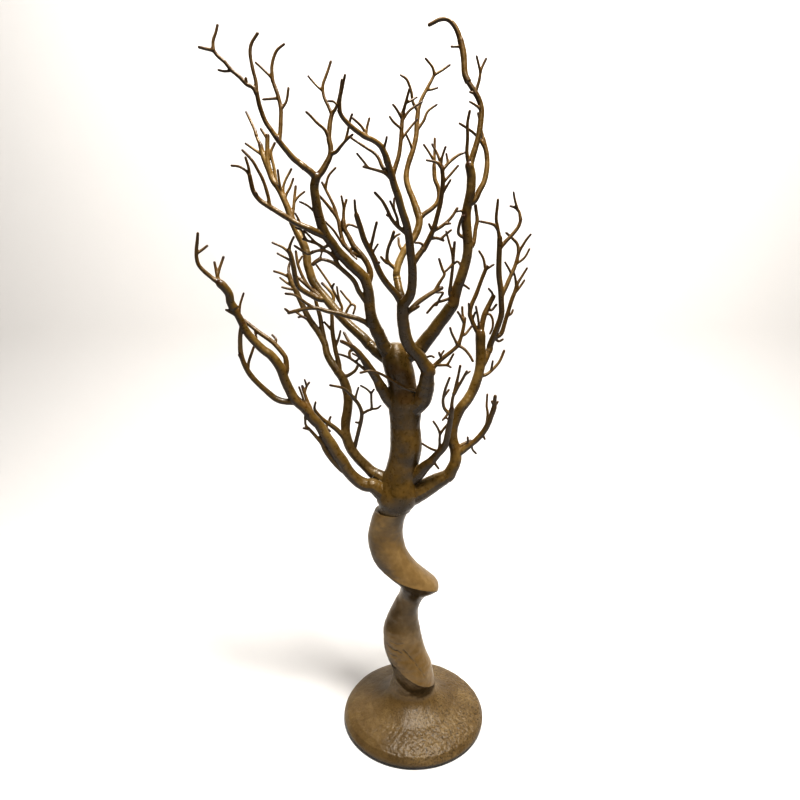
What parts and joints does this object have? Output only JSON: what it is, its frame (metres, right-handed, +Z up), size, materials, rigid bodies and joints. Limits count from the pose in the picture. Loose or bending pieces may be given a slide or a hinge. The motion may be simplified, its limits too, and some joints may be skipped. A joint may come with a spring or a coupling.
{
  "type": "artificial tabletop tree",
  "caption": "Bare-branched artificial tabletop tree on a twisted cast trunk with a round domed base; the crown lifts off and its limbs plug in.",
  "frame": {"origin": "centre of the felt pad's flat underside", "axes": "+Z up, the front of the tree faces -Y"},
  "size_m": [0.3283, 0.1793, 0.7629],
  "materials": {
    "cast_base": "cast resin stone, stippled, matte brown paint",
    "cast_trunk": "cast resin stone, smoothed, satin brown paint",
    "olive_branch": "moulded plastic, satin olive brown",
    "tan_branch": "moulded plastic, satin tan",
    "cement": "poured cement",
    "felt": "dark felt",
    "steel": "plain steel",
    "nylon": "natural nylon"
  },
  "bodies": {
    "base_body": {"base_pad": "felt", "base_shell": "cast_base", "base_weight": "cement", "core_rod": "steel", "rod_nut": "steel", "rod_washer": "steel", "trunk": "cast_trunk"},
    "bush_body": {"crown_bush": "nylon"},
    "stem_body": {"crown_stem": "olive_branch"},
    "limb_far_left_body": {"limb_far_left": "olive_branch"},
    "limb_second_left_body": {"limb_second_left": "tan_branch"},
    "limb_mid_left_body": {"limb_mid_left": "olive_branch"},
    "limb_back_left_body": {"limb_back_left": "tan_branch"},
    "limb_upper_left_body": {"limb_upper_left": "olive_branch"},
    "limb_front_body": {"limb_front": "olive_branch"},
    "limb_upper_right_body": {"limb_upper_right": "olive_branch"},
    "limb_right_body": {"limb_right": "olive_branch"},
    "limb_right_inner_body": {"limb_right_inner": "olive_branch"},
    "spray_right_outer_body": {"spray_right_outer": "olive_branch"},
    "spray_centre_back_body": {"spray_centre_back": "tan_branch"},
    "spray_centre_right_body": {"spray_centre_right": "olive_branch"},
    "spray_left_hook_body": {"spray_left_hook": "olive_branch"},
    "spray_upper_left_body": {"spray_upper_left": "olive_branch"}
  },
  "joints": [
    {"name": "crown_turn", "type": "hinge", "parent": "base_body", "child": "bush_body", "pos_m": [-0.021, 0, 0.2723], "axis": [0, 0, 1], "range_deg": [-180, 180]},
    {"name": "crown_lift", "type": "slide", "parent": "bush_body", "child": "stem_body", "axis": [0, 0, 1], "range_m": [0, 0.06]},
    {"name": "limb_far_left_plug", "type": "slide", "parent": "stem_body", "child": "limb_far_left_body", "axis": [-0.8025, -0.163, 0.5739], "range_m": [0, 0.013]},
    {"name": "limb_second_left_plug", "type": "slide", "parent": "stem_body", "child": "limb_second_left_body", "axis": [-0.8621, 0.167, 0.4785], "range_m": [0, 0.013]},
    {"name": "limb_mid_left_plug", "type": "slide", "parent": "stem_body", "child": "limb_mid_left_body", "axis": [-0.4988, -0.2033, 0.8425], "range_m": [0, 0.013]},
    {"name": "limb_back_left_plug", "type": "slide", "parent": "stem_body", "child": "limb_back_left_body", "axis": [-0.7207, 0.3296, 0.6099], "range_m": [0, 0.013]},
    {"name": "limb_upper_left_plug", "type": "slide", "parent": "stem_body", "child": "limb_upper_left_body", "axis": [-0.448, -0.1724, 0.8773], "range_m": [0, 0.013]},
    {"name": "limb_front_plug", "type": "slide", "parent": "stem_body", "child": "limb_front_body", "axis": [0.1191, -0.3374, 0.9338], "range_m": [0, 0.013]},
    {"name": "limb_upper_right_plug", "type": "slide", "parent": "stem_body", "child": "limb_upper_right_body", "axis": [0.5958, -0.0366, 0.8023], "range_m": [0, 0.013]},
    {"name": "limb_right_plug", "type": "slide", "parent": "stem_body", "child": "limb_right_body", "axis": [0.8417, -0.096, 0.5313], "range_m": [0, 0.013]},
    {"name": "limb_right_inner_plug", "type": "slide", "parent": "stem_body", "child": "limb_right_inner_body", "axis": [0.6252, -0.3005, 0.7202], "range_m": [0, 0.013]},
    {"name": "spray_right_outer_plug", "type": "slide", "parent": "limb_right_body", "child": "spray_right_outer_body", "axis": [0.457, 0.2795, 0.8444], "range_m": [0, 0.007]},
    {"name": "spray_centre_back_plug", "type": "slide", "parent": "limb_front_body", "child": "spray_centre_back_body", "axis": [-0.2125, 0.4717, 0.8558], "range_m": [0, 0.007]},
    {"name": "spray_centre_right_plug", "type": "slide", "parent": "limb_front_body", "child": "spray_centre_right_body", "axis": [0.5846, 0.1841, 0.7901], "range_m": [0, 0.007]},
    {"name": "spray_left_hook_plug", "type": "slide", "parent": "limb_upper_left_body", "child": "spray_left_hook_body", "axis": [-0.8135, -0.4463, 0.3729], "range_m": [0, 0.007]},
    {"name": "spray_upper_left_plug", "type": "slide", "parent": "limb_upper_left_body", "child": "spray_upper_left_body", "axis": [-0.7136, -0.3106, 0.6279], "range_m": [0, 0.007]}
  ]
}
